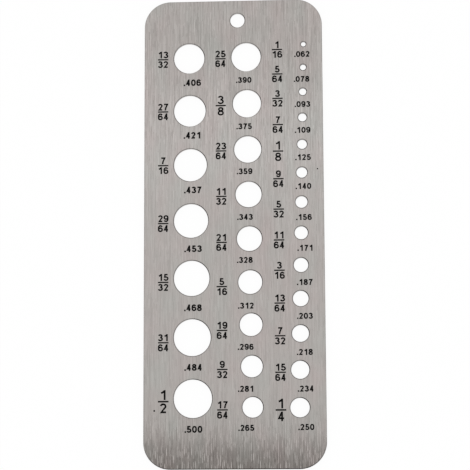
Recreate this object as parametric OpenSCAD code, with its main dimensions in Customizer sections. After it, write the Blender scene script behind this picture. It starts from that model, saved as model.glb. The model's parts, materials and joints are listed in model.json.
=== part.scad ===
// Drill size gauge: one flat sheet-metal plate with a graded run of round holes.
// A drill is pushed into the holes until it finds the one that it just fits.
// The plate lies on its back: X across, Y along with the hang hole at the +Y end, Z through the sheet.
// The sizes run down the right column, up the middle column and down the left column.

/* [Plate] */
// Width of the plate
plate_w = 61; // [57:0.5:75]
// Length of the plate
plate_l = 160; // [145:0.5:200]
// Thickness of the sheet
plate_t = 1.2; // [0.8:0.1:3]
// Radius of the plate's four corners, seen from above
corner_r = 9; // [4:0.5:14]
// Width of the bevel that takes the sharp edge off the outline and off every hole, on both faces
edge_break = 0.2; // [0.05:0.05:0.3]

/* [Gauge holes] */
// Smallest drill that the gauge takes, in 64ths of an inch
first_size = 4; // [3:1:5]
// Holes in the right column, one 64th apart, with the smallest at the top
right_count = 13; // [8:1:14]
// Holes in the middle column, which goes on upwards with the smallest at the bottom
middle_count = 9; // [5:1:9]
// Holes in the left column, which goes on downwards with the smallest at the top
left_count = 7; // [3:1:7]
// Clearance on the diameter, so that a drill of the marked size slips through
slip = 0.05; // [0:0.01:0.15]

/* [Hole pattern] */
// From the top edge of the plate to the first rim of each column
top_margin = 15; // [12:0.5:18]
// From the last rim of each column to the bottom edge of the plate
bottom_margin = 17; // [8:0.5:20]
// From the left edge of the plate to the line that the left column's left rims keep to
left_margin = 10.2; // [6:0.1:12]
// From the right edge of the plate to the line that the middle column's right rims keep to
middle_margin = 21.1; // [18:0.1:24]
// From the right edge of the plate to the line that the right column's right rims keep to
right_margin = 5.6; // [3:0.1:8]

/* [Hang hole] */
// Diameter of the hole that the gauge hangs from
hang_d = 4.9; // [3:0.1:6]
// From the top edge of the plate to the centre of the hang hole
hang_margin = 7; // [6:0.1:9]
// Offset of the hang hole to the right of the plate's middle line
hang_offset = 1.5; // [-5:0.1:5]

/* [Hidden] */
$fn = 96;

// Millimetres in an inch, and the step from one drill size to the next
inch = 25.4;
size_step = inch / 64;

// Overshoot of a cutter past the face that it cuts
overshoot = 0.5;

// Every column fills the same length, so its webs come out equal
pattern_l = plate_l - top_margin - bottom_margin;
first_rim_y = plate_l / 2 - top_margin;

// Drill sizes of each column from top to bottom, in 64ths of an inch
right_sizes = [for (i = [0 : right_count - 1]) first_size + i];
middle_sizes = [for (i = [middle_count - 1 : -1 : 0]) first_size + right_count + i];
left_sizes = [for (i = [0 : left_count - 1]) first_size + right_count + middle_count + i];

// Diameter of the hole for one drill size
function hole_d(size) = size * size_step + slip;

// Sum of the first count numbers of a list
function sum_first(list, count) = count == 0 ? 0 : list[count - 1] + sum_first(list, count - 1);

// Cross-section of the sheet with its four edges broken
function sheet_section(half_w) = [
    [-half_w + edge_break, 0],
    [half_w - edge_break, 0],
    [half_w, edge_break],
    [half_w, plate_t - edge_break],
    [half_w - edge_break, plate_t],
    [-half_w + edge_break, plate_t],
    [-half_w, plate_t - edge_break],
    [-half_w, edge_break]
];

// Half of that section for a round corner
function corner_section() = [
    [0, 0],
    [corner_r - edge_break, 0],
    [corner_r, edge_break],
    [corner_r, plate_t - edge_break],
    [corner_r - edge_break, plate_t],
    [0, plate_t]
];

// Straight strip of sheet along Y, with its long edges broken
module strip(w, l) {
    translate([0, l / 2, 0])
        rotate([90, 0, 0])
            linear_extrude(height = l)
                polygon(sheet_section(w / 2));
}

// Plate blank: two crossed strips and a disc in each corner
module blank() {
    strip(plate_w, plate_l - 2 * corner_r);
    rotate([0, 0, 90])
        strip(plate_l, plate_w - 2 * corner_r);
    for (side = [-1, 1], end = [-1, 1])
        translate([side * (plate_w / 2 - corner_r), end * (plate_l / 2 - corner_r), 0])
            rotate_extrude()
                polygon(corner_section());
}

// Cutter for one round hole through the sheet, with both rims broken
module hole_cut(d) {
    mouth_h = edge_break + overshoot;
    translate([0, 0, -overshoot])
        cylinder(d = d, h = plate_t + 2 * overshoot);
    translate([0, 0, plate_t - edge_break])
        cylinder(d1 = d, d2 = d + 2 * mouth_h, h = mouth_h);
    translate([0, 0, -overshoot])
        cylinder(d1 = d + 2 * mouth_h, d2 = d, h = mouth_h);
}

// Cutters for one column: rims that keep to a line at rim_x, on the holes' right (1) or left (-1)
module column_cuts(sizes, rim_x, rim_side) {
    diameters = [for (size = sizes) hole_d(size)];
    count = len(diameters);
    web = (pattern_l - sum_first(diameters, count)) / (count - 1);
    for (i = [0 : count - 1]) {
        centre_x = rim_x - rim_side * diameters[i] / 2;
        centre_y = first_rim_y - sum_first(diameters, i) - i * web - diameters[i] / 2;
        translate([centre_x, centre_y, 0])
            hole_cut(diameters[i]);
    }
}

module gauge_plate() {
    color([0.67, 0.65, 0.63])
        difference() {
            blank();
            column_cuts(left_sizes, left_margin - plate_w / 2, -1);
            column_cuts(middle_sizes, plate_w / 2 - middle_margin, 1);
            column_cuts(right_sizes, plate_w / 2 - right_margin, 1);
            translate([hang_offset, plate_l / 2 - hang_margin, 0])
                hole_cut(hang_d);
        }
}

gauge_plate();
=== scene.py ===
"""Looks of a drill size gauge: a brushed steel plate with graded holes and black size numbers."""

import json

import bpy
import numpy as np
from mathutils.geometry import delaunay_2d_cdt
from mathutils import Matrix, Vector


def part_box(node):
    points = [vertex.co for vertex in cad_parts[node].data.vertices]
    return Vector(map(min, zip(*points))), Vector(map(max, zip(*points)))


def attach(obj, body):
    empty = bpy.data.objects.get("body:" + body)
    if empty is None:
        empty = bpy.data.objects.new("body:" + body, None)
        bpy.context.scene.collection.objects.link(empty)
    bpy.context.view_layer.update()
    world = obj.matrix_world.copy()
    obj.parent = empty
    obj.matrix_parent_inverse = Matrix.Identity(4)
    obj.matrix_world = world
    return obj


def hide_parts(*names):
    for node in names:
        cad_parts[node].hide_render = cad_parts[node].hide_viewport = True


bl_info = {
    "name": "Drill Size Gauge",
    "version": (1, 0, 0),
    "blender": (4, 5, 0),
    "location": "3D View > Sidebar > Gauge",
    "description": "Dresses the packed gauge plate in brushed steel with black size numbers",
    "category": "Object",
}

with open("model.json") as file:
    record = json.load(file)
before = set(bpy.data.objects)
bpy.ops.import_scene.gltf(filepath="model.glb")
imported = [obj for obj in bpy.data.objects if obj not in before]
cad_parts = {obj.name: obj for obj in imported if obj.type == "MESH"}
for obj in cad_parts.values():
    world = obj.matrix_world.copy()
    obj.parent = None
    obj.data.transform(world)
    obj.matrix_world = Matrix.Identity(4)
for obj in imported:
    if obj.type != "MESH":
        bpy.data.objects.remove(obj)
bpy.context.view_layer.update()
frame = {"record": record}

# Lengths below are millimetres, turned to Blender's metres by this factor
MM = 0.001

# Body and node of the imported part, and the finishes of its record
BODY = "root"
PLATE_NODE = "gauge_plate"

# Columns of holes from left to right, told apart by where their holes' centres lie across the plate
COLUMN_BORDERS = (-5 * MM, 14 * MM)

# How far the bar of each fraction lies below the centre of its hole, from the top of each column down.
# The numbers were set by eye when the plate was marked, so they keep to no rule.
BAR_DROP = (
    (0.25, 0.2, 0.1, 0.85, 1.3, 1.65, 0.9),
    (0.5, 0.6, 0.45, 0.6, 1.2, 1.45, 1.85, 0.95, 0.8),
    (1.8, 2.25, 2.25, 2.45, 2.3, 2.1, 2.4, 2.4, 1.75, 1.5, 0.75, 0.8, 0.75),
)

# Clear distance from the lower rim of each hole to the top of its decimal, in the same order
DECIMAL_DROP = (
    (2.2, 2.0, 1.9, 2.65, 2.85, 2.65, 2.6),
    (2.1, 2.15, 2.0, 2.35, 2.05, 2.95, 2.6, 2.8, 2.35),
    (1.7, 2.1, 2.15, 2.0, 1.9, 1.9, 2.2, 1.95, 2.4, 2.25, 2.4, 2.25, 2.2),
)

# How far each decimal stands to the right of its column's line, in the same order
DECIMAL_ASIDE = (
    (0.02, -0.05, 0.05, 0.08, -0.03, -0.01, 0.01),
    (-0.01, 0.01, 0.02, 0.05, -0.12, 0.13, -0.06, -0.09, -0.05),
    (0.12, -0.13, 0.06, -0.01, 0.04, 0.02, 0.06, 0.37, 0.05, -0.05, -0.24, -0.09, -0.08),
)

# Height of a fraction's digits by its denominator: the plain fractions are marked larger
DIGIT_HEIGHT = {2: 3.3, 4: 3.2, 8: 2.95, 16: 2.4, 32: 2.4, 64: 2.4}

# Line width against the usual by a fraction's denominator: the plain fractions are marked bolder
DIGIT_BOLDNESS = {2: 1.2, 4: 1.18, 8: 1.06, 16: 1.0, 32: 1.0, 64: 1.0}

# Width and pitch of the digits in digit heights, and the room of a decimal point in pitches
DIGIT_WIDTH = 0.71
DIGIT_PITCH = 0.79
POINT_ROOM = 0.38

# Points on one curved stroke of a digit
CURVE_POINTS = 25

# Power of the cosine and sine that gives an oval its full shoulders
SHOULDER_POWER = 0.88

# Longest mitre at a corner of a stroke, in half line widths
LONGEST_MITRE = 2.4

# How much higher each stroke of a label lies than the one before it, in thicknesses of the fill
STROKE_STEP = 0.002

# Small dark pits in the face: place and diameter
SPECKS = (((-26.8, -60.57), 0.6), ((28.42, 20.6), 0.46))

# Cells between two neighbouring strips of brushing, so that no line runs over into the next strip
STRIPS_APART = 10

# How many times as wide and as long as the short brush lines the long ones are
LONG_LINE_WIDTH = 1.3
LONG_LINE_LENGTH = 4

# Share of the calm reach within which the brush lines stay at their calmest
CALM_CORE = 0.55

# Tone halfway between a groove and a line, about which the brush lines vary
MIDDLE_TONE = 0.5

# Length of a warm or cool patch in patch widths
PATCH_LENGTH = 2

# Way in which the ceiling light leans, and its level by how far a direction goes that way
CEILING_AXIS = (0.04, 1.0, 0.0)
CEILING_LEVELS = (
    (-0.3, 0.95), (-0.12, 0.75), (-0.04, 0.39), (0.012, 0.39), (0.02, 0.44), (0.03, 0.75), (0.036, 0.86),
    (0.05, 0.89), (0.07, 0.91), (0.16, 0.93), (0.2, 1.0), (0.22, 1.0), (0.25, 0.89), (0.4, 0.87),
)

# How much green and blue the darkest part of the ceiling lacks
DARK_WARMTH = (0.05, 0.1)

# How far aside the ceiling begins and ends its change to an even level, and that level
SIDE_RANGE = (0.3, 0.6)
SIDE_LEVEL = 0.88

# Heights between which the light grows from what the walls keep of it to the ceiling's full level
WALL_RANGE = (0.2, 0.93)
WALL_LEVEL = 0.45

# Way to a dark panel low in the studio, how near that way it begins and is full, and what it leaves
PANEL_AXIS = (-0.82, -0.57, 0.0)
PANEL_RANGE = (0.45, 0.8)
PANEL_LEVEL = 0.02

# Height up to which the panel is full, and the height over which it fades out above that
PANEL_TOP = 0.2
PANEL_FADE = 0.1


def from_hex(text):
    """Linear colour of an sRGB hex value: the sRGB curve is undone channel by channel."""
    srgb = np.array([int(text[i:i + 2], 16) for i in (0, 2, 4)]) / 255
    linear = np.where(srgb <= 0.04045, srgb / 12.92, ((srgb + 0.055) / 1.055) ** 2.4)
    return tuple(linear.tolist())


class GaugePlateSettings(bpy.types.PropertyGroup):
    """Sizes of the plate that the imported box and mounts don't give."""

    corner_radius: bpy.props.FloatProperty(
        name="Corner radius", description="Radius of the plate's four corners",
        default=9 * MM, unit="LENGTH")
    edge_radius: bpy.props.FloatProperty(
        name="Edge radius", description="Rounding of the outline's edges",
        default=0.3 * MM, unit="LENGTH")
    bevel_width: bpy.props.FloatProperty(
        name="Bevel width", description="Width of the bevel at the rims of the holes",
        default=0.3 * MM, unit="LENGTH")
    bevel_tilt: bpy.props.FloatProperty(
        name="Bevel tilt", description="Tilt of the bevel's normals from the upright",
        default=float(np.radians(41.5)), unit="ROTATION")
    # Gauge holes smaller than this radius get painted shade on their walls below the bevel
    drilled_radius: bpy.props.FloatProperty(
        name="Drilled radius",
        description="Gauge holes with a smaller radius than this were drilled, the others punched",
        default=3.3 * MM, unit="LENGTH")
    chord_error: bpy.props.FloatProperty(
        name="Chord error",
        description="Furthest that a facet of a round edge lies from the true circle",
        default=0.002 * MM, unit="LENGTH", precision=6)


class GaugeNumberSettings(bpy.types.PropertyGroup):
    """Sizes and places of the marked numbers."""

    fraction_x: bpy.props.FloatVectorProperty(
        name="Fraction place", description="Middle of each column's fractions across the plate",
        default=(-23.95 * MM, -4.2 * MM, 15.21 * MM), unit="LENGTH")
    decimal_x: bpy.props.FloatVectorProperty(
        name="Decimal place", description="Middle of each column's decimals across the plate",
        default=(-13.91 * MM, 3.74 * MM, 23.62 * MM), unit="LENGTH")
    decimal_height: bpy.props.FloatVectorProperty(
        name="Decimal height", description="Height of each column's decimals",
        default=(2.3 * MM, 2.05 * MM, 2.05 * MM), unit="LENGTH")
    turn: bpy.props.FloatProperty(
        name="Turn", description="Turn of the marking against the plate, which was marked by hand",
        default=float(np.radians(0.15)), unit="ROTATION")
    bar_length: bpy.props.FloatProperty(
        name="Bar length", description="Length of the bar in a fraction",
        default=3.55 * MM, unit="LENGTH")
    bar_width: bpy.props.FloatProperty(
        name="Bar width", description="Line width of the bar in a fraction",
        default=0.45 * MM, unit="LENGTH")
    bar_gap: bpy.props.FloatProperty(
        name="Bar gap", description="Clear distance between the bar and the digits",
        default=0.27 * MM, unit="LENGTH")
    fraction_line: bpy.props.FloatProperty(
        name="Fraction line", description="Line width of a fraction's digits",
        default=0.52 * MM, unit="LENGTH")
    decimal_line: bpy.props.FloatProperty(
        name="Decimal line", description="Line width of a decimal's digits as a share of their height",
        default=0.234, subtype="FACTOR")
    film: bpy.props.FloatProperty(
        name="Film", description="Height of the black fill above the steel",
        default=0.012 * MM, unit="LENGTH", precision=6)
    sink: bpy.props.FloatProperty(
        name="Sink", description="Depth of the black fill in the steel",
        default=0.02 * MM, unit="LENGTH", precision=6)


class GaugeFinishSettings(bpy.types.PropertyGroup):
    """Colours of the finishes and sizes of the brushing."""

    steel_dark: bpy.props.FloatVectorProperty(
        name="Steel in the grooves", description="Colour between two brush lines",
        default=from_hex("9a9592"), subtype="COLOR")
    steel_light: bpy.props.FloatVectorProperty(
        name="Steel on the lines", description="Colour on a brush line",
        default=from_hex("d1ccc9"), subtype="COLOR")
    tint_cool: bpy.props.FloatVectorProperty(
        name="Cool tint", description="Tint of the patches that lean green",
        default=from_hex("f6fffd"), subtype="COLOR")
    tint_warm: bpy.props.FloatVectorProperty(
        name="Warm tint", description="Tint of the patches that lean pink",
        default=from_hex("fff6f7"), subtype="COLOR")
    # Painted shade: a dark steel colour laid on the small holes' walls and the lower edge's rounding, for the
    # shade there
    steel_dull: bpy.props.FloatVectorProperty(
        name="Dull steel",
        description="Colour of the drilled walls in the small holes and of the lower edge",
        default=from_hex("4a4745"), subtype="COLOR")
    marks: bpy.props.FloatVectorProperty(
        name="Marks", description="Colour of the black fill and of the dark specks",
        default=from_hex("0a0a0a"), subtype="COLOR")
    line_width: bpy.props.FloatProperty(
        name="Line width", description="Width of a brush line, drawn wider than real so that it shows",
        default=0.18 * MM, unit="LENGTH")
    line_length: bpy.props.FloatProperty(
        name="Line length", description="Length of a brush line",
        default=4 * MM, unit="LENGTH")
    long_share: bpy.props.FloatProperty(
        name="Long lines", description="Share of the long lines in the brushing",
        default=0.4, subtype="FACTOR")
    line_contrast: bpy.props.FloatProperty(
        name="Line contrast", description="Share of the steel's colour range that the brush lines use",
        default=0.9, subtype="FACTOR")
    calm_contrast: bpy.props.FloatProperty(
        name="Calm contrast", description="What the brush lines use of it in the rubbed middle",
        default=0.52, subtype="FACTOR")
    calm_place: bpy.props.FloatProperty(
        name="Calm place", description="Middle of the rubbed part along the plate",
        default=-25 * MM, unit="LENGTH")
    calm_reach: bpy.props.FloatProperty(
        name="Calm reach", description="How far from there the brush lines come back to full contrast",
        default=63 * MM, unit="LENGTH")
    end_contrast: bpy.props.FloatProperty(
        name="End contrast",
        description="What the brush lines gain in contrast at the plate's lower end",
        default=0.9, subtype="FACTOR")
    end_reach: bpy.props.FloatProperty(
        name="End reach", description="How far up from the lower end that gain fades out",
        default=20 * MM, unit="LENGTH")
    patch_size: bpy.props.FloatProperty(
        name="Patch size", description="Width of a warm or cool patch",
        default=7 * MM, unit="LENGTH")
    line_tilt: bpy.props.FloatProperty(
        name="Line tilt", description="Furthest that a brush line leans up the plate",
        default=0.032, unit="ROTATION")
    leaning_width: bpy.props.FloatProperty(
        name="Leaning width", description="Width of a leaning line",
        default=0.2 * MM, unit="LENGTH")
    leaning_gap: bpy.props.FloatProperty(
        name="Leaning gap", description="From one leaning line to the next",
        default=0.6 * MM, unit="LENGTH")
    leaning_length: bpy.props.FloatProperty(
        name="Leaning length", description="Length of a leaning line",
        default=3.5 * MM, unit="LENGTH")
    leaning_fade: bpy.props.FloatProperty(
        name="Leaning fade", description="Share of its length over which a leaning line fades",
        default=0.42, subtype="FACTOR")
    roughness: bpy.props.FloatProperty(
        name="Roughness", description="Roughness of the steel on one brush line",
        default=0.11, subtype="FACTOR")


class GaugeStageSettings(bpy.types.PropertyGroup):
    """Camera, floor and sky."""

    camera_place: bpy.props.FloatVectorProperty(
        name="Camera place", description="Where the camera stands above the plate",
        default=(33.89 * MM, -88.07 * MM, 557.44 * MM), subtype="XYZ", unit="LENGTH")
    camera_turn: bpy.props.FloatVectorProperty(
        name="Camera turn", description="Turn of the camera from looking straight down",
        default=tuple(np.radians((8.795, 3.487, -0.249)).tolist()), subtype="EULER", unit="ROTATION")
    lens: bpy.props.FloatProperty(
        name="Lens", description="Focal length on a 36 mm frame",
        default=128.1, unit="CAMERA")
    floor_colour: bpy.props.FloatVectorProperty(
        name="Floor", description="Colour of the floor",
        default=from_hex("fcfcfc"), subtype="COLOR")
    floor_size: bpy.props.FloatProperty(
        name="Floor size", description="Side of the square floor",
        default=3.0, unit="LENGTH")
    floor_glow: bpy.props.FloatProperty(
        name="Floor glow", description="Share of plain white in the floor as the camera sees it",
        default=0.92, subtype="FACTOR")


def gauge_holes():
    """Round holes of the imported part: centre, radius, and for a gauge hole its fraction, column and row."""
    holes = []
    for mount in frame["record"]["mounts"]:
        if mount["kind"] != "bore":
            continue
        hole = {
            "centre": np.array(mount["pos_m"][:2]),
            "radius": mount["dims"]["r_mm"] * MM,
        }
        parts = mount["name"].split("_")
        if parts[0] == "drill":
            hole["fraction"] = (int(parts[1]), int(parts[2]))
            hole["column"] = int(np.searchsorted(COLUMN_BORDERS, hole["centre"][0]))
        holes.append(hole)
    for column in range(len(COLUMN_BORDERS) + 1):
        members = [hole for hole in holes if hole.get("column") == column]
        members.sort(key=lambda hole: -hole["centre"][1])
        for row, hole in enumerate(members):
            hole["row"] = row
    return holes


def add_node(tree, kind, settings=None, **inputs):
    """A new node with its settings, and each input set to a value or linked to another node's socket.
    An input is named in words with _ for a space, or by its number after one _."""
    node = tree.nodes.new(kind)
    for name, value in (settings or {}).items():
        setattr(node, name, value)
    for name, value in inputs.items():
        number = name[1:]
        socket = node.inputs[int(number) if number.isdigit() else name.replace("_", " ")]
        if isinstance(value, bpy.types.NodeSocket):
            tree.links.new(value, socket)
        else:
            socket.default_value = value
    return node


def new_material(name):
    """An empty node material and its output node."""
    material = bpy.data.materials.new(name)
    material.use_nodes = True
    material.node_tree.nodes.clear()
    output = material.node_tree.nodes.new("ShaderNodeOutputMaterial")
    return material, output


def brushed_steel(finish):
    """Stainless sheet brushed along its length: satin, with fine light and dark lines that run down it.
    Across the lines a reflection spreads wide, along them it stays narrow. A few lines lean up the plate,
    so the edge of a reflection breaks into thin streaks. The middle, where fingers hold it, is rubbed
    calmer, the lines are strongest at the lower end, and broad patches lean warm or cool. The walls in
    the small holes and the lower edge get a painted shade of dark steel, for the shade there. Real brush
    lines are a few hundredths of a millimetre wide, too fine to show here, so they are drawn coarser."""
    material, output = new_material("brushed_stainless_steel")
    tree = material.node_tree
    place = add_node(tree, "ShaderNodeTexCoord").outputs["Object"]
    width = finish.line_width
    length = finish.line_length
    patterns = {
        "short lines": (width, length),
        "long lines": (LONG_LINE_WIDTH * width, LONG_LINE_LENGTH * length),
        "leaning lines": (finish.leaning_gap, finish.leaning_length),
    }
    parts = add_node(tree, "ShaderNodeSeparateXYZ", Vector=place).outputs
    lines = {}
    for name, (across, along) in patterns.items():
        strip = add_node(tree, "ShaderNodeMath", {"operation": "SNAP"}, _0=parts["X"], _1=across)
        spot = add_node(tree, "ShaderNodeCombineXYZ", X=strip.outputs["Value"], Y=parts["Y"])
        spread = add_node(
            tree, "ShaderNodeMapping", Vector=spot.outputs["Vector"],
            Scale=(STRIPS_APART / across, 1 / along, 1))
        cells = add_node(
            tree, "ShaderNodeTexVoronoi", {"voronoi_dimensions": "2D"},
            Vector=spread.outputs["Vector"], Scale=1.0, Randomness=1.0)
        lines[name] = cells.outputs
    tone = add_node(
        tree, "ShaderNodeMix", _0=finish.long_share,
        _2=lines["short lines"]["Color"], _3=lines["long lines"]["Color"])
    from_middle = add_node(
        tree, "ShaderNodeMath", {"operation": "SUBTRACT"}, _0=parts["Y"], _1=finish.calm_place)
    distance = add_node(tree, "ShaderNodeMath", {"operation": "ABSOLUTE"}, _0=from_middle.outputs[0])
    strength = add_node(
        tree, "ShaderNodeMapRange", Value=distance.outputs[0],
        From_Min=CALM_CORE * finish.calm_reach, From_Max=finish.calm_reach,
        To_Min=finish.calm_contrast, To_Max=finish.line_contrast)
    lower_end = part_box(PLATE_NODE)[0].y
    extra = add_node(
        tree, "ShaderNodeMapRange", Value=parts["Y"],
        From_Min=lower_end, From_Max=lower_end + finish.end_reach,
        To_Min=finish.end_contrast, To_Max=0.0)
    contrast = add_node(
        tree, "ShaderNodeMath", {"operation": "ADD"},
        _0=strength.outputs["Result"], _1=extra.outputs["Result"])
    varied = add_node(
        tree, "ShaderNodeMix", {"clamp_factor": False},
        _0=contrast.outputs["Value"], _2=MIDDLE_TONE, _3=tone.outputs[0])
    colour = add_node(
        tree, "ShaderNodeMix", {"data_type": "RGBA"},
        _0=varied.outputs[0], _6=(*finish.steel_dark, 1), _7=(*finish.steel_light, 1))
    patch = finish.patch_size
    stretched = add_node(
        tree, "ShaderNodeMapping", Vector=place,
        Scale=(1 / patch, 1 / (PATCH_LENGTH * patch), 1 / patch))
    patches = add_node(
        tree, "ShaderNodeTexNoise", Vector=stretched.outputs["Vector"], Scale=1.0, Detail=1.0)
    tint = add_node(
        tree, "ShaderNodeMix", {"data_type": "RGBA"},
        _0=patches.outputs["Fac"], _6=(*finish.tint_cool, 1), _7=(*finish.tint_warm, 1))
    tinted = add_node(
        tree, "ShaderNodeMix", {"data_type": "RGBA", "blend_type": "MULTIPLY"},
        _0=1.0, _6=colour.outputs[2], _7=tint.outputs[2])
    # Painted shade: faces with a share of it turn to dark steel, for the shade in the small holes and on the
    # lower edge
    dull = add_node(tree, "ShaderNodeAttribute", {"attribute_name": "dull"})
    steel = add_node(
        tree, "ShaderNodeMix", {"data_type": "RGBA"},
        _0=dull.outputs["Fac"], _6=tinted.outputs[2], _7=(*finish.steel_dull, 1))
    beside = add_node(
        tree, "ShaderNodeMath", {"operation": "FLOORED_MODULO"}, _0=parts["X"], _1=finish.leaning_gap)
    on_line = add_node(
        tree, "ShaderNodeMath", {"operation": "LESS_THAN"},
        _0=beside.outputs["Value"], _1=finish.leaning_width)
    lean = add_node(
        tree, "ShaderNodeMapRange", Value=lines["leaning lines"]["Distance"],
        From_Min=0.0, From_Max=finish.leaning_fade, To_Min=finish.line_tilt, To_Max=0.0)
    tilt = add_node(
        tree, "ShaderNodeMath", {"operation": "MULTIPLY"},
        _0=on_line.outputs["Value"], _1=lean.outputs["Result"])
    up_the_plate = add_node(tree, "ShaderNodeCombineXYZ", Y=tilt.outputs["Value"])
    face = add_node(tree, "ShaderNodeNewGeometry").outputs["Normal"]
    leaning = add_node(
        tree, "ShaderNodeVectorMath", {"operation": "ADD"},
        _0=face, _1=up_the_plate.outputs["Vector"])
    normal = add_node(
        tree, "ShaderNodeVectorMath", {"operation": "NORMALIZE"}, _0=leaning.outputs["Vector"])
    along_x = add_node(tree, "ShaderNodeTangent", {"direction_type": "RADIAL", "axis": "Y"})
    shader = add_node(
        tree, "ShaderNodeBsdfPrincipled", Base_Color=steel.outputs[2], Metallic=1.0,
        Roughness=finish.roughness, Anisotropic=1.0, Tangent=along_x.outputs["Tangent"],
        Normal=normal.outputs["Vector"])
    tree.links.new(shader.outputs["BSDF"], output.inputs["Surface"])
    return material


def matt_black(name, finish):
    """Finish of the numbers and of the pits. Black enamel, rubbed into etched numbers, dries dead matt.
    A corroded pit swallows the light. Either way the eye sees black with hardly any sheen."""
    material, output = new_material(name)
    tree = material.node_tree
    shader = add_node(
        tree, "ShaderNodeBsdfPrincipled",
        Base_Color=(*finish.marks, 1), Roughness=0.8, Specular_IOR_Level=0.1)
    tree.links.new(shader.outputs["BSDF"], output.inputs["Surface"])
    return material


def new_piece(name, vertices, faces, material):
    """A mesh piece of the object that rides with the plate."""
    mesh = bpy.data.meshes.new(name)
    mesh.from_pydata(vertices.tolist(), [], faces)
    mesh.materials.append(material)
    piece = bpy.data.objects.new(name, mesh)
    bpy.context.scene.collection.objects.link(piece)
    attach(piece, BODY)
    return piece


def edge_profile(thickness, radius, steps=6):
    """Side of the sheet from bottom to top: a quarter circle, a straight wall, a quarter circle.
    Gives the distance in from the true edge, the height, and how far the normal points up."""
    angle = np.linspace(0, np.pi / 2, steps)
    inset = radius * (1 - np.sin(angle))
    height = radius * (1 - np.cos(angle))
    up = -np.cos(angle)
    return (
        np.concatenate((inset, inset[::-1])),
        np.concatenate((height, thickness - height[::-1])),
        np.concatenate((up, -up[::-1])),
    )


def bevel_profile(thickness, width, tilt):
    """Side of a hole, with the points of an edge profile: a flat bevel, a straight wall, a flat bevel.
    The bevel's normals have one tilt, and turn to the wall's and the face's in narrow strips."""
    share = np.array((0.0, 0.12, 0.5, 0.75, 0.88, 1.0))
    angle = np.array((0.0, tilt, tilt, tilt, tilt, np.pi / 2))
    inset = width * (1 - share)
    height = width * share
    up = -np.cos(angle)
    return (
        np.concatenate((inset, inset[::-1])),
        np.concatenate((height, thickness - height[::-1])),
        np.concatenate((up, -up[::-1])),
    )


def circle_steps(radius, chord_error):
    """Number of chords that keep within the chord error of a circle."""
    return int(np.ceil(np.pi / np.arccos(1 - chord_error / radius)))


def outline_wall(size, corner, profile, chord_error):
    """Wall round the outside of the plate on a grid of path by profile.
    The path is four quarter circles joined by straight sides. Each point moves in along its radius."""
    inset, height, up = profile
    steps = circle_steps(corner, chord_error) // 4 + 1
    quarter = np.linspace(0, np.pi / 2, steps)
    angle = np.concatenate([quarter + k * np.pi / 2 for k in range(4)])
    side = np.repeat(np.array(((1, 1), (-1, 1), (-1, -1), (1, -1))), steps, axis=0)
    middle = side * (np.array(size) / 2 - corner)
    ray = np.column_stack((np.cos(angle), np.sin(angle)))
    flat = middle[:, None, :] + ray[:, None, :] * (corner - inset)[None, :, None]
    return wall_arrays(flat, ray, height, up)


def hole_wall(hole, profile, chord_error):
    """Wall of one hole on a grid of angle by profile: the profile revolved clockwise, to face inwards."""
    inset, height, up = profile
    steps = circle_steps(hole["radius"], chord_error)
    angle = -np.arange(steps) * 2 * np.pi / steps
    ray = np.column_stack((np.cos(angle), np.sin(angle)))
    flat = hole["centre"] + ray[:, None, :] * (hole["radius"] + inset)[None, :, None]
    return wall_arrays(flat, -ray, height, up)


def wall_arrays(flat, out, height, up):
    """Points and normals of a wall: the flat grid gets its heights, and normals lean from up to out."""
    tall = np.broadcast_to(height[None, :, None], (*flat.shape[:2], 1))
    level = np.sqrt(1 - up ** 2)
    lean = out[:, None, :] * level[None, :, None]
    rise = np.broadcast_to(up[None, :, None], tall.shape)
    return np.concatenate((flat, tall), axis=2), np.concatenate((lean, rise), axis=2)


def closed_grid_faces(around, along, first):
    """Quads of a grid that closes on itself in its first direction."""
    i, j = np.meshgrid(np.arange(around), np.arange(along - 1), indexing="ij")
    after = (i + 1) % around
    corners = (i * along + j, after * along + j, after * along + j + 1, i * along + j + 1)
    return (np.stack(corners, axis=2).reshape(-1, 4) + first).tolist()


def flat_face(loops, points):
    """Triangles between the outline and the holes: a constrained Delaunay net over their loops."""
    ids = np.concatenate(loops)
    starts = np.cumsum([0] + [len(loop) for loop in loops[:-1]])
    rings = [(start + np.arange(len(loop))).tolist() for start, loop in zip(starts, loops)]
    in_mm = (points[ids, :2] / MM).tolist()
    inside_without_holes = 2
    same_point = 1e-6
    _, _, triangles, origins, _, _ = delaunay_2d_cdt(in_mm, [], rings, inside_without_holes, same_point)
    source = ids[np.array([origin[0] for origin in origins])]
    return source[np.array(triangles)]


def dull_shares(walls, holes, settings):
    """Share of painted shade on each face of the walls. On the outline's upper rounding it is how far the
    wall faces down the plate. In a small gauge hole it is one below the upper bevel. Elsewhere it is nought."""
    along = walls[0][0].shape[1]
    below_top = np.arange(along - 1) < along // 2
    downwards = np.clip(-walls[0][1][:, along // 2, 1], 0, 1)
    shares = [np.outer(downwards, ~below_top)]
    for hole, (points, _) in zip(holes, walls[1:]):
        is_shaded_hole = "fraction" in hole and hole["radius"] < settings.drilled_radius
        shares.append(np.outer(np.full(len(points), is_shaded_hole), below_top))
    return np.concatenate([share.ravel() for share in shares])


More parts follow.
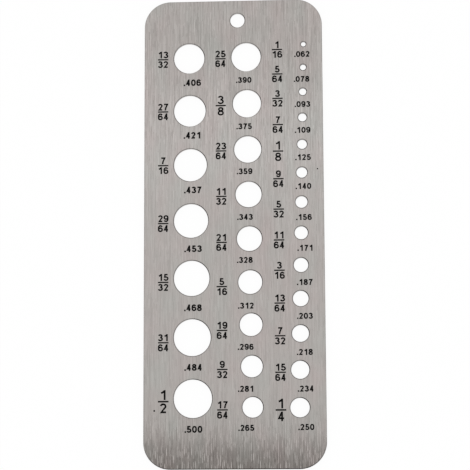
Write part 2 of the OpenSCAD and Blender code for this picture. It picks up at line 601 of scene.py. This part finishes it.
def plate_surface(settings):
    """Points, normals and faces of the plate, walls first, then the top and bottom faces between them.
    The last array is each face's share of painted shade."""
    low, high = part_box(PLATE_NODE)
    size = high - low
    profile = edge_profile(size.z, settings.edge_radius)
    walls = [outline_wall(size[:2], settings.corner_radius, profile, settings.chord_error)]
    bevel = bevel_profile(size.z, settings.bevel_width, settings.bevel_tilt)
    holes = gauge_holes()
    walls += [hole_wall(hole, bevel, settings.chord_error) for hole in holes]
    along = len(profile[0])
    firsts = np.cumsum([0] + [wall[0].shape[0] * along for wall in walls])
    points = np.concatenate([wall[0].reshape(-1, 3) for wall in walls])
    normals = np.concatenate([wall[1].reshape(-1, 3) for wall in walls])
    faces = []
    bottom_loops = []
    for wall, first in zip(walls, firsts):
        around = wall[0].shape[0]
        faces += closed_grid_faces(around, along, first)
        bottom_loops.append(first + np.arange(around) * along)
    top_loops = [loop + along - 1 for loop in bottom_loops]
    faces += flat_face(top_loops, points).tolist()
    faces += flat_face(bottom_loops, points)[:, ::-1].tolist()
    dull = dull_shares(walls, holes, settings)
    return points, normals, faces, np.pad(dull, (0, len(faces) - len(dull)))


def arc(centre, radii, start, stop):
    """Ellipse arc: the centre plus each radius times the cosine or sine of an angle, in degrees."""
    angle = np.radians(np.linspace(start, stop, CURVE_POINTS))
    return np.column_stack((centre[0] + radii[0] * np.cos(angle), centre[1] + radii[1] * np.sin(angle)))


def oval(centre, radii):
    """Closed ellipse with fuller shoulders: cosine and sine are taken to a power a little below one."""
    angle = np.linspace(0, 2 * np.pi, 2 * CURVE_POINTS, endpoint=False)
    wave = np.column_stack((np.cos(angle), np.sin(angle)))
    return np.array(centre) + np.array(radii) * np.sign(wave) * np.abs(wave) ** SHOULDER_POWER


def digit_strokes(line):
    """Centrelines of the ten digits, as (points, closed): digit widths across, digit heights up.
    Line is the line width in digit heights. The leg of the seven is a bent line with one control point."""
    low = line / 2
    high = 1 - low
    bowl = 0.5 * (0.56 - low)
    six = [
        (oval((0.5, low + bowl), (0.5, bowl)), True),
        (np.vstack(((0, low + bowl), arc((0.5, 0.62), (0.5, high - 0.62), 180, 24))), False),
    ]
    bend = np.linspace(0, 1, CURVE_POINTS)[:, None]
    leg = (1 - bend) ** 2 * (0.98, high) + 2 * bend * (1 - bend) * (0.42, 0.5) + bend ** 2 * (0.33, 0)
    return {
        "0": [(oval((0.5, 0.5), (0.5, 0.5 - low)), True)],
        "1": [
            (np.array(((0.76, 0.0), (0.76, 1.0))), False),
            (np.array(((0.06, 0.7), (0.4, 0.76), (0.78, 1.0))), False),
        ],
        "2": [(np.vstack((
            arc((0.48, 0.69), (0.46, high - 0.69), 172, -28), ((0.06, low), (1.05, low)))), False)],
        "3": [
            (arc((0.47, 0.73), (0.44, high - 0.73), 168, -96), False),
            (arc((0.48, 0.305), (0.52, 0.305 - low), 96, -168), False),
        ],
        "4": [
            (np.array(((0.72, 0.0), (0.72, 1.0))), False),
            (np.array(((0.7, 0.95), (0.02, 0.31), (1.1, 0.31))), False),
        ],
        "5": [
            (np.array(((0.95, high), (0.2, high), (0.1, 0.44))), False),
            (arc((0.48, 0.33), (0.52, 0.33 - low), 142, -166), False),
        ],
        "6": six,
        "7": [(np.vstack(((-0.05, high), leg)), False)],
        "8": [
            (oval((0.5, 0.735), (0.42, high - 0.735)), True),
            (oval((0.5, 0.3), (0.5, 0.3 - low)), True),
        ],
        "9": [((1, 1) - points, closed) for points, closed in six],
    }


def ribbon(path, closed, width, box, bottom, top):
    """Rectangle carried along a flat path: each point is pushed half a width to both sides along the
    mitre of its two stretches. What a sharp corner throws outside the digit's box is pressed back."""
    ahead = np.roll(path, -1, axis=0) - path
    behind = np.roll(ahead, 1, axis=0)
    if not closed:
        ahead[-1] = behind[-1]
        behind[0] = ahead[0]
    turned = [
        np.column_stack((-step[:, 1], step[:, 0])) / np.linalg.norm(step, axis=1)[:, None]
        for step in (ahead, behind)
    ]
    mitre = turned[0] + turned[1]
    scale = 1 + np.sum(turned[0] * turned[1], axis=1)
    mitre = mitre / np.maximum(scale, 2 / LONGEST_MITRE ** 2)[:, None]
    left = path + mitre * width / 2
    right = path - mitre * width / 2
    ring = np.stack((left, left, right, right), axis=1)
    ring = np.clip(ring, box[0], box[1])
    height = np.broadcast_to(np.array((bottom, top, top, bottom))[None, :, None], (len(path), 4, 1))
    points = np.concatenate((ring, height), axis=2).reshape(-1, 3)
    count = len(path) if closed else len(path) - 1
    i, k = np.meshgrid(np.arange(count), np.arange(4), indexing="ij")
    after = (i + 1) % len(path)
    beside = (k + 1) % 4
    corners = (i * 4 + k, i * 4 + beside, after * 4 + beside, after * 4 + k)
    faces = np.stack(corners, axis=2).reshape(-1, 4)
    if not closed:
        last = 4 * (len(path) - 1)
        caps = np.array(((0, 3, 2, 1), (last, last + 1, last + 2, last + 3)))
        faces = np.concatenate((faces, caps))
    return points, faces


class Marking:
    """Gathers the ribbons of one label."""

    def __init__(self, bottom, top):
        self.bottom = bottom
        self.top = top
        self.points = []
        self.faces = []
        self.count = 0

    def stroke(self, path, closed, width, box):
        """Adds one ribbon. Each lies a hair above the one before it, so no two faces share a plane."""
        hair = (self.top - self.bottom) * STROKE_STEP * len(self.points)
        points, faces = ribbon(path, closed, width, box, self.bottom, self.top + hair)
        self.points.append(points)
        self.faces += (faces + self.count).tolist()
        self.count += len(points)

    def line(self, start, stop, width):
        """Adds a straight bar."""
        path = np.array((start, stop))
        reach = np.array((width, width))
        self.stroke(path, False, width, (path.min(axis=0) - reach, path.max(axis=0) + reach))

    def number(self, text, centre_x, foot, height, line):
        """Adds a row of digits round centre_x; a point takes less than half of a digit's room."""
        digits = digit_strokes(line / height)
        digit_width = DIGIT_WIDTH * height
        pitch = DIGIT_PITCH * height
        room = np.array([pitch * POINT_ROOM if sign == "." else pitch for sign in text])
        total = room.sum() - (pitch - digit_width)
        left = centre_x - total / 2 + np.concatenate(((0,), np.cumsum(room)[:-1]))
        for sign, x in zip(text, left):
            if sign == ".":
                self.line((x, foot + line / 2), (x + line, foot + line / 2), line)
                continue
            low = np.array((x, foot))
            high = low + (digit_width, height)
            for path, closed in digits[sign]:
                across = x + line / 2 + path[:, 0] * (digit_width - line)
                up = foot + path[:, 1] * height
                self.stroke(np.column_stack((across, up)), closed, line, (low, high))

    def piece(self, name, material):
        """Makes the piece."""
        return new_piece(name, np.concatenate(self.points), self.faces, material)


class GAUGE_OT_plate(bpy.types.Operator):
    """Make the brushed steel plate with its rounded outline and bevelled holes"""

    bl_idname = "gauge.plate"
    bl_label = "Gauge Plate"

    def execute(self, context):
        points, normals, faces, dull = plate_surface(context.scene.gauge_plate)
        steel = brushed_steel(context.scene.gauge_finish)
        plate = new_piece("steel_plate", points, faces, steel)
        # Each face's share of painted shade, read by the steel's material
        plate.data.attributes.new("dull", "FLOAT", "FACE").data.foreach_set("value", dull)
        plate.data.shade_smooth()
        plate.data.normals_split_custom_set_from_vertices(normals.tolist())
        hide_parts(PLATE_NODE)
        return {"FINISHED"}


class GAUGE_OT_numbers(bpy.types.Operator):
    """Make the black fraction and decimal beside each gauge hole"""

    bl_idname = "gauge.numbers"
    bl_label = "Size Numbers"

    def execute(self, context):
        sizes = context.scene.gauge_numbers
        black = matt_black("black_enamel_fill", context.scene.gauge_finish)
        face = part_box(PLATE_NODE)[1].z
        for hole in gauge_holes():
            if "fraction" not in hole:
                continue
            marking = Marking(face - sizes.sink, face + sizes.film)
            self.add_fraction(marking, hole, sizes)
            self.add_decimal(marking, hole, sizes)
            marking.piece("numbers_{}_{}".format(*hole["fraction"]), black)
        return {"FINISHED"}

    def add_fraction(self, marking, hole, sizes):
        """Numerator over bar over denominator, to the left of the hole."""
        over, under = hole["fraction"]
        y = hole["centre"][1] - BAR_DROP[hole["column"]][hole["row"]] * MM
        x = sizes.fraction_x[hole["column"]] - y * np.tan(sizes.turn)
        height = DIGIT_HEIGHT[under] * MM
        bar = sizes.bar_width * DIGIT_BOLDNESS[under]
        line = sizes.fraction_line * DIGIT_BOLDNESS[under]
        clear = bar / 2 + sizes.bar_gap
        half = sizes.bar_length / 2
        marking.line((x - half, y), (x + half, y), bar)
        marking.number(str(over), x, y + clear, height, line)
        marking.number(str(under), x, y - clear - height, height, line)

    def add_decimal(self, marking, hole, sizes):
        """Three decimals of an inch below the hole, with what follows them left off."""
        over, under = hole["fraction"]
        text = ".{:03d}".format(over * 1000 // under)
        height = sizes.decimal_height[hole["column"]]
        rim = hole["centre"][1] - hole["radius"]
        foot = rim - DECIMAL_DROP[hole["column"]][hole["row"]] * MM - height
        aside = DECIMAL_ASIDE[hole["column"]][hole["row"]] * MM
        x = sizes.decimal_x[hole["column"]] + aside - foot * np.tan(sizes.turn)
        marking.number(text, x, foot, height, sizes.decimal_line * height)


class GAUGE_OT_specks(bpy.types.Operator):
    """Make the small dark pits in the face"""

    bl_idname = "gauge.specks"
    bl_label = "Dark Specks"

    def execute(self, context):
        sizes = context.scene.gauge_numbers
        black = matt_black("corroded_steel_pit", context.scene.gauge_finish)
        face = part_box(PLATE_NODE)[1].z
        marking = Marking(face - sizes.sink, face + sizes.film)
        for centre, diameter in SPECKS:
            self.add_speck(marking, np.array(centre) * MM, diameter / 2 * MM)
        marking.piece("dark_specks", black)
        return {"FINISHED"}

    def add_speck(self, marking, middle, radius):
        """A closed oval stroke at half the radius, as wide as the radius, so that it fills its middle."""
        path = oval(middle, (radius / 2, radius / 2))
        marking.stroke(path, True, radius, (middle - radius, middle + radius))


class GAUGE_OT_stage(bpy.types.Operator):
    """Make the floor, the sky and the camera"""

    bl_idname = "gauge.stage"
    bl_label = "Stage"

    def execute(self, context):
        settings = context.scene.gauge_stage
        self.add_floor(settings)
        self.add_sky(context.scene)
        self.add_camera(context.scene, settings)
        context.scene.view_settings.view_transform = "Standard"
        return {"FINISHED"}

    def add_floor(self, settings):
        """Pale paper: the eye sees it nearly white, with the plate's soft shadow."""
        material, output = new_material("pale_paper")
        tree = material.node_tree
        light = add_node(tree, "ShaderNodeLightPath").outputs
        seen = add_node(
            tree, "ShaderNodeMath", {"operation": "MAXIMUM"},
            _0=light["Is Camera Ray"], _1=light["Is Glossy Ray"])
        seen = add_node(
            tree, "ShaderNodeMath", {"operation": "MAXIMUM"},
            _0=seen.outputs[0], _1=light["Is Transmission Ray"])
        share = add_node(
            tree, "ShaderNodeMath", {"operation": "MULTIPLY"},
            _0=seen.outputs[0], _1=settings.floor_glow)
        paper = add_node(tree, "ShaderNodeBsdfDiffuse", Color=(*settings.floor_colour, 1))
        white = add_node(tree, "ShaderNodeEmission", Strength=1.0)
        mixed = add_node(
            tree, "ShaderNodeMixShader", _0=share.outputs[0], _1=paper.outputs[0], _2=white.outputs[0])
        tree.links.new(mixed.outputs[0], output.inputs["Surface"])
        half = settings.floor_size / 2
        corners = [(-half, -half, 0), (half, -half, 0), (half, half, 0), (-half, half, 0)]
        mesh = bpy.data.meshes.new("floor")
        mesh.from_pydata(corners, [], [(0, 1, 2, 3)])
        mesh.materials.append(material)
        floor = bpy.data.objects.new("floor", mesh)
        bpy.context.scene.collection.objects.link(floor)

    def add_sky(self, scene):
        """White studio: plain white all round, and in the metal a ceiling with a dark gap near the camera.
        The ceiling's level goes by how far a direction leans along the plate, and its dark part is warm.
        Far to either side it turns even, towards the walls it dims, and a dark panel stands low down."""
        world = bpy.data.worlds.new("studio")
        world.use_nodes = True
        # Light sampled from the sky is no glossy ray, so the metal's own rays have to find the ceiling
        world.cycles.sampling_method = "NONE"
        scene.world = world
        tree = world.node_tree
        tree.nodes.clear()
        output = tree.nodes.new("ShaderNodeOutputWorld")
        direction = add_node(tree, "ShaderNodeTexCoord").outputs["Generated"]
        reach = add_node(
            tree, "ShaderNodeVectorMath", {"operation": "DOT_PRODUCT"}, _0=direction, _1=CEILING_AXIS)
        first = CEILING_LEVELS[0][0]
        last = CEILING_LEVELS[-1][0]
        share = add_node(
            tree, "ShaderNodeMapRange", Value=reach.outputs["Value"], From_Min=first, From_Max=last)
        ramp = add_node(tree, "ShaderNodeValToRGB", Fac=share.outputs["Result"])
        elements = ramp.color_ramp.elements
        while len(elements) < len(CEILING_LEVELS):
            elements.new(0.5)
        for element, (where, level) in zip(elements, CEILING_LEVELS):
            element.position = (where - first) / (last - first)
            green, blue = (level * (1 - warmth * (1 - level)) for warmth in DARK_WARMTH)
            element.color = (level, green, blue, 1)
        parts = add_node(tree, "ShaderNodeSeparateXYZ", Vector=direction).outputs
        across = add_node(tree, "ShaderNodeMath", {"operation": "ABSOLUTE"}, _0=parts["X"])
        aside = add_node(
            tree, "ShaderNodeMapRange", Value=across.outputs["Value"],
            From_Min=SIDE_RANGE[0], From_Max=SIDE_RANGE[1])
        overhead = add_node(
            tree, "ShaderNodeMix", {"data_type": "RGBA"},
            _0=aside.outputs["Result"], _6=ramp.outputs["Color"],
            _7=(SIDE_LEVEL, SIDE_LEVEL, SIDE_LEVEL, 1))
        dim = add_node(
            tree, "ShaderNodeMapRange", Value=parts["Z"],
            From_Min=WALL_RANGE[0], From_Max=WALL_RANGE[1], To_Min=WALL_LEVEL, To_Max=1.0)
        towards = add_node(
            tree, "ShaderNodeVectorMath", {"operation": "DOT_PRODUCT"}, _0=direction, _1=PANEL_AXIS)
        panel = add_node(
            tree, "ShaderNodeMapRange", Value=towards.outputs["Value"],
            From_Min=PANEL_RANGE[0], From_Max=PANEL_RANGE[1], To_Min=1.0, To_Max=PANEL_LEVEL)
        above = add_node(
            tree, "ShaderNodeMapRange", Value=parts["Z"],
            From_Min=PANEL_TOP, From_Max=PANEL_TOP + PANEL_FADE)
        low = add_node(
            tree, "ShaderNodeMix", _0=above.outputs["Result"], _2=panel.outputs["Result"], _3=1.0)
        level = add_node(
            tree, "ShaderNodeMath", {"operation": "MULTIPLY"},
            _0=dim.outputs["Result"], _1=low.outputs[0])
        white = add_node(tree, "ShaderNodeBackground", Color=(1, 1, 1, 1), Strength=1.0)
        ceiling = add_node(
            tree, "ShaderNodeBackground", Color=overhead.outputs[2], Strength=level.outputs["Value"])
        glossy = add_node(tree, "ShaderNodeLightPath").outputs["Is Glossy Ray"]
        mixed = add_node(
            tree, "ShaderNodeMixShader", _0=glossy, _1=white.outputs[0], _2=ceiling.outputs[0])
        tree.links.new(mixed.outputs[0], output.inputs["Surface"])

    def add_camera(self, scene, settings):
        """Camera that looks down on the plate from a little below its middle."""
        data = bpy.data.cameras.new("camera")
        data.lens = settings.lens
        camera = bpy.data.objects.new("camera", data)
        camera.location = settings.camera_place
        camera.rotation_euler = settings.camera_turn
        scene.collection.objects.link(camera)
        scene.camera = camera


class GAUGE_PT_sidebar(bpy.types.Panel):
    """Shows the gauge's settings and the buttons that make its pieces"""

    bl_idname = "GAUGE_PT_sidebar"
    bl_label = "Drill Size Gauge"
    bl_space_type = "VIEW_3D"
    bl_region_type = "UI"
    bl_category = "Gauge"

    def draw(self, context):
        for group, operators in PANEL_ROWS:
            box = self.layout.box()
            settings = getattr(context.scene, group)
            for name in settings.__annotations__:
                box.prop(settings, name)
            for operator in operators:
                box.operator(operator.bl_idname)


PANEL_ROWS = (
    ("gauge_plate", (GAUGE_OT_plate,)),
    ("gauge_numbers", (GAUGE_OT_numbers, GAUGE_OT_specks)),
    ("gauge_finish", ()),
    ("gauge_stage", (GAUGE_OT_stage,)),
)

SETTINGS = {
    "gauge_plate": GaugePlateSettings,
    "gauge_numbers": GaugeNumberSettings,
    "gauge_finish": GaugeFinishSettings,
    "gauge_stage": GaugeStageSettings,
}

CLASSES = (
    *SETTINGS.values(),
    GAUGE_OT_plate,
    GAUGE_OT_numbers,
    GAUGE_OT_specks,
    GAUGE_OT_stage,
    GAUGE_PT_sidebar,
)


def register():
    """Register the classes and hang the settings on the scene."""
    for cls in CLASSES:
        bpy.utils.register_class(cls)
    for name, cls in SETTINGS.items():
        setattr(bpy.types.Scene, name, bpy.props.PointerProperty(type=cls))


def unregister():
    """Take the settings and the classes away again."""
    for name in SETTINGS:
        delattr(bpy.types.Scene, name)
    for cls in reversed(CLASSES):
        bpy.utils.unregister_class(cls)


def main():
    register()
    bpy.ops.gauge.plate()
    bpy.ops.gauge.numbers()
    bpy.ops.gauge.specks()
    bpy.ops.gauge.stage()


if __name__ == "__main__":
    main()
